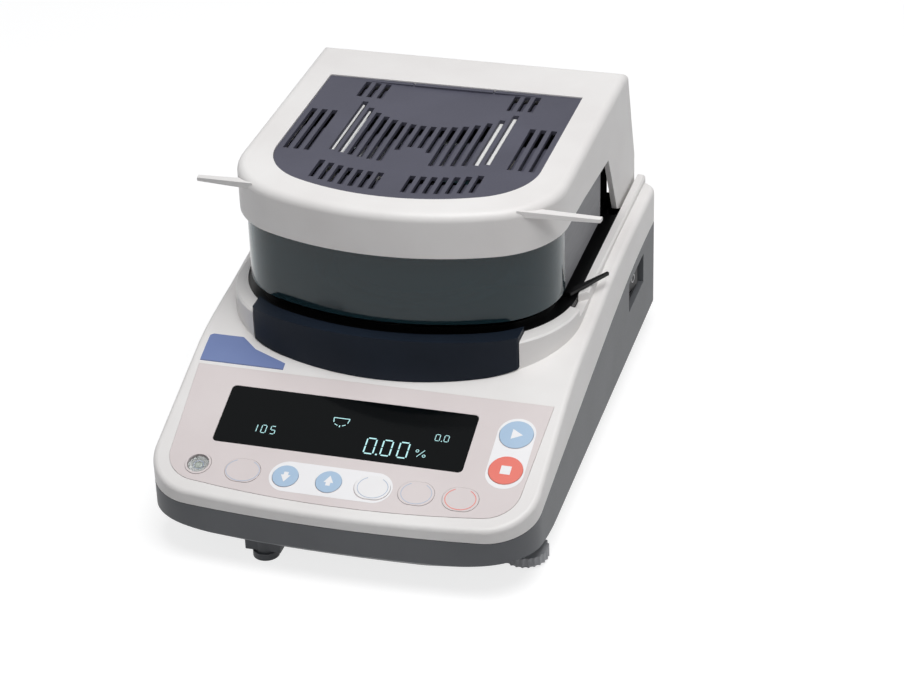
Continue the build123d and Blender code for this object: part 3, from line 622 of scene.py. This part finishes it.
settle(arrow(-29.75, -1), "key_down_mark", ink_white, "key_down", PANEL)
settle(arrow(-5.6, 1), "key_up_mark", ink_white, "key_up", PANEL)
go = thicken(triangle(85.2, 22.0, 4.0, -math.pi / 2))
settle(go, "key_start_mark", ink_white, "key_start", PANEL)
halt = thicken(bar(82.9, 46.3, 88.5, 46.3, 5.6, MARK_LIFT))
settle(halt, "key_stop_mark", ink_white, "key_stop", PANEL)
print("key marks", 4)

# %% [markdown]
# ## Display
# A vacuum fluorescent display builds numbers from seven bars. One function draws a number
# at any height, and only the lit bars become pieces. The figures are plain zeros and a
# drying temperature, with a pan symbol over them.

# %% Display figures
LIT = {"0": "abcdef", "1": "bc", "5": "afgcd"}
GLASS_LIFT = 0.12


def figure(char, x, s, w, h, line):
    """The lit bars of one figure, whose top left corner is at x, s."""
    g = line * 0.75  # the notch between two bars at a corner
    mid = s + h / 2
    strokes = {
        "a": (x + g, s, x + w - g, s), "d": (x + g, s + h, x + w - g, s + h),
        "g": (x + g, mid, x + w - g, mid),
        "f": (x, s + g, x, mid - g / 2), "b": (x + w, s + g, x + w, mid - g / 2),
        "e": (x, mid + g / 2, x, s + h - g), "c": (x + w, mid + g / 2, x + w, s + h - g),
    }
    return [bar(*strokes[name], line, GLASS_LIFT) for name in LIT[char]]


def number(text, x, s, w, h, pitch, line):
    """The lit bars of a row of figures, pitch mm apart."""
    pieces = []
    for k, char in enumerate(text):
        pieces += figure(char, x + k * pitch, s, w, h, line)
    return pieces


ICON_LINE = 0.45
lit = number("000", 7.2, 36.6, 5.2, 10.3, 9.2, 0.75)
lit.append(bar(13.9, 46.9, 14.9, 46.9, 0.9, GLASS_LIFT))
lit += number("105", -57.6, 37.0, 2.6, 5.2, 5.2, 0.42)
lit += number("00", 43.2, 28.4, 2.4, 4.2, 4.9, 0.36)
lit.append(bar(46.6, 32.6, 47.2, 32.6, 0.5, GLASS_LIFT))
# percent sign: two small rings and a stroke
for x, s in ((35.9, 41.0), (40.1, 43.9)):
    lit.append(outline(x, s, GLASS_LIFT, 0.95, 0.95, 0.35))
lit.append(bar(36.3, 44.9, 39.9, 40.1, 0.35, GLASS_LIFT))
# pan symbol: rim, two sides, base with its stem
for ends in ((-15.0, 25.8, -6.0, 25.8), (-15.0, 26.0, -14.4, 28.8), (-6.0, 26.0, -6.6, 28.8),
             (-13.6, 30.0, -11.8, 30.9), (-7.4, 30.0, -9.2, 30.9)):
    lit.append(bar(*ends, ICON_LINE, GLASS_LIFT))
lit.append(bar(-10.5, 30.7, -10.5, 31.9, 0.6, GLASS_LIFT))
digits = thicken(join(lit), 0.03)
settle(digits, "display_segments", segments_lit, "base", PANEL)
print("segments", len(digits.data.polygons))

# %% [markdown]
# ## Level and power marks
# The round level has a bubble under its glass and a printed circle round it. The bubble is a
# flattened sphere of air inside the vial. The power rocker carries the usual circle for off;
# it is drawn flat and then turned onto the rocker's tilted half.

# %% Level bubble and rocker ring
LEVEL_X = -79.5
LEVEL_S = 68.0
bpy.ops.object.select_all(action="DESELECT")
bpy.ops.mesh.primitive_uv_sphere_add(segments=32, ring_count=16, radius=1.0,
                                     location=at(LEVEL_X, LEVEL_S, -1.9))
bubble = bpy.context.object
bubble.scale = (2.3 * MM, 2.3 * MM, 0.6 * MM)
bpy.ops.object.shade_smooth()
# air in spirit: a pale lens with a bright rim
air = glazing("trapped air bubble", "E8F0E8", 0.05, 0.6)
settle(bubble, "level_bubble", air, "base", PANEL)
target = thicken(outline(LEVEL_X, LEVEL_S, -1.17, 2.9, 2.9, 0.35))
settle(target, "level_target", ink_line, "base", PANEL)

ROCKER_AT = Vector((104.35, 105.5, 55.0)) * MM
ROCKER_SLOPE = 0.15
ROCKER_FACE = Matrix.Translation(ROCKER_AT) @ Matrix.Rotation(-math.atan(ROCKER_SLOPE), 4, "Z")
ROCKER_FACE = ROCKER_FACE @ Matrix.Rotation(math.pi / 2, 4, "Y")
ring = thicken(outline(0, 0, 0, 2.6, 2.6, 0.6), 0.08)
settle(ring, "rocker_off_mark", ink_white, "power_rocker", ROCKER_FACE)

# %% [markdown]
# ## Under the vents
# Each vent slot has a floor and is open only towards the back, so no drip falls on the lamp.
# A small tray per slot, set a little below the grille, gives the same view. The two outermost
# slots at each end of the fan show pale strips of the lamp's mounting. The slots' places
# repeat the grille's own pattern, so every tray lies under its slot.

# %% Vent trays
GRILLE_HALF = 75.5
GRILLE_FRONT = -44.0
GRILLE_BACK = 99.0
DISH_R = 53.6
TRAY_TOP = 168.0
TRAY_HALF = 2.3
TRAY_T = 0.8
OPEN_SHARE = 0.42
VIEW_SHIFT = 7.6
STRIP_SHIFT = 1.3


def plate(x0, x1, y0, y1, z0, z1):
    """A thin plate by its limits in millimetres, with its edges broken."""
    bpy.ops.object.select_all(action="DESELECT")
    centre = Vector(((x0 + x1) / 2, (y0 + y1) / 2, (z0 + z1) / 2)) * MM
    bpy.ops.mesh.primitive_cube_add(size=1.0, location=centre)
    obj = bpy.context.object
    obj.scale = Vector((x1 - x0, y1 - y0, z1 - z0)) * MM
    only(obj)
    bpy.ops.object.transform_apply(location=True, rotation=True, scale=True)
    pick(obj, "EDGE", lambda c: True)
    bpy.ops.mesh.bevel(offset=0.15 * MM, segments=1)
    object_mode()
    return obj


vents = []
for sx in (-1, 1):
    vents += [(sx * (GRILLE_HALF - 17.2 + 6.1 * k), 2, 54) for k in range(3)]
    vents += [(sx * (GRILLE_HALF - 36.8 + 6.1 * k), GRILLE_BACK - 24, GRILLE_BACK - 4)
              for k in range(3)]
    for k in range(7):
        t = (k / 6) ** 2
        vents.append((sx * (9 + 6.05 * k), GRILLE_FRONT + 8.2 + 7.2 * t, GRILLE_FRONT + 28 + 8 * t))
fan = []
for k in range(16):
    x = (k - 7.5) * 5.95
    front = 17.5 if abs(x) < 11.5 else 0.0045 * x * x - 3.4
    fan.append((x, front, GRILLE_BACK - 0.4 - math.sqrt(DISH_R ** 2 - x ** 2)))
vents += fan[2:-2]
trays = []
# from above the front, what lies under the slots looks shifted back
for x, y0, y1 in vents:
    end = y1 + VIEW_SHIFT - OPEN_SHARE * (y1 - y0)
    trays.append(plate(x - TRAY_HALF, x + TRAY_HALF, y0 - 2, end, TRAY_TOP - TRAY_T, TRAY_TOP))
settle(join(trays), "vent_trays", vent_slate, "lid")
strips = []
for x, y0, y1 in fan[:2] + fan[-2:]:
    x += math.copysign(0.4, x) - STRIP_SHIFT
    strips.append(plate(x - 1.0, x + 1.0, y0 - 1, y1 + 3, TRAY_TOP + 1.4, TRAY_TOP + 2.0))
# etched aluminium: matt and nearly white, so the strips stay pale inside the dark slots
matt_bright = brushed("etched aluminium strip", "F4F4F2", 0.5, 0.8, 0.15)
settle(join(strips), "vent_bright_strips", matt_bright, "lid")
print("trays", len(vents), "strips", len(strips))

# %% [markdown]
# ## Shade sheet behind the chamber
# Behind the chamber a low black sheet is painted shade: it keeps the hinge well dark. It stands on
# the back edge of the black deck, inside the circle that the open lid sweeps. A plain plate with
# broken edges is all that such a folded strip needs.

# %% Shade sheet for the hinge well
# a black plate as painted shade in the hinge well
screen = plate(-90.2, 90.2, 118.1, 119.1, 88, 103.5)
settle(screen, "hinge_well_shade_sheet", black_enamel_and_shade, "base")
print("screen", [round(side * 1000, 1) for side in screen.dimensions])

# %% [markdown]
# ## Black hinge trough
# A rolled black sheet closes the housing under the hinge and keeps the boards out of sight;
# its black is painted shade of the hinge well. It is part of a tube round the hinge line, a little
# wider than the circle that the lid's back edge sweeps, so a cylinder with most of its faces
# deleted gives its form.

# %% Hinge trough
HINGE = Vector((0, 143, 84)) * MM
TROUGH_R = 22.4 * MM
TROUGH_W = 202 * MM
TROUGH_ARC = (172, 309)


def outside_trough(c):
    """True for faces of the tube that aren't below the hinge, by their angle from +y."""
    angle = math.degrees(math.atan2(c.z - HINGE.z, c.y - HINGE.y)) % 360
    return not TROUGH_ARC[0] < angle < TROUGH_ARC[1]


bpy.ops.object.select_all(action="DESELECT")
bpy.ops.mesh.primitive_cylinder_add(vertices=96, radius=TROUGH_R, depth=TROUGH_W,
                                    end_fill_type="NOTHING", location=HINGE,
                                    rotation=(0, math.pi / 2, 0))
trough = bpy.context.object
bpy.ops.object.transform_apply(location=True, rotation=True, scale=True)
pick(trough, "FACE", outside_trough)
bpy.ops.mesh.delete(type="FACE")
object_mode()
apply_modifier(trough, "SOLIDIFY", thickness=0.8 * MM, offset=1.0)
only(trough)
bpy.ops.object.shade_smooth_by_angle(angle=math.radians(30))
# the trough's black enamel is painted shade under the hinge
settle(trough, "hinge_shade_trough", black_enamel_and_shade, "base")
print("trough faces", len(trough.data.polygons))

# %% [markdown]
# ## Heater details
# With the lid open the quartz lamp shows its coiled tungsten wire behind the filter. A
# small circle drawn along a screw path makes the coil; a curve with a round bevel would do
# too, but the Screw modifier keeps the wire's section upright and the mesh light.

# %% Filament
COIL_L = 70.0 * MM
COIL_R = 1.2 * MM
WIRE_R = 0.25 * MM
TURNS = 56
STEPS = TURNS * 12
bpy.ops.object.select_all(action="DESELECT")
bpy.ops.mesh.primitive_circle_add(vertices=8, radius=WIRE_R, location=(COIL_R, 0, 0),
                                  rotation=(math.pi / 2, 0, 0))
coil = bpy.context.object
bpy.ops.object.transform_apply(location=True, rotation=True, scale=True)
apply_modifier(coil, "SCREW", angle=2 * math.pi * TURNS, screw_offset=COIL_L, steps=STEPS,
               render_steps=STEPS, axis="Z", use_merge_vertices=False)
low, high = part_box("halogen_lamp")
heart = (Vector(low) + Vector(high)) / 2
lay = Matrix.Translation(heart - Vector((COIL_L / 2, 0, 0))) @ Matrix.Rotation(math.pi / 2, 4, "Y")
# drawn tungsten: dull grey wire, darker than the steel round it
tungsten = brushed("drawn tungsten wire", "8A8883", 0.4, 0.3)
settle(coil, "lamp_filament", tungsten, "lid", lay)
print("filament faces", len(coil.data.polygons))
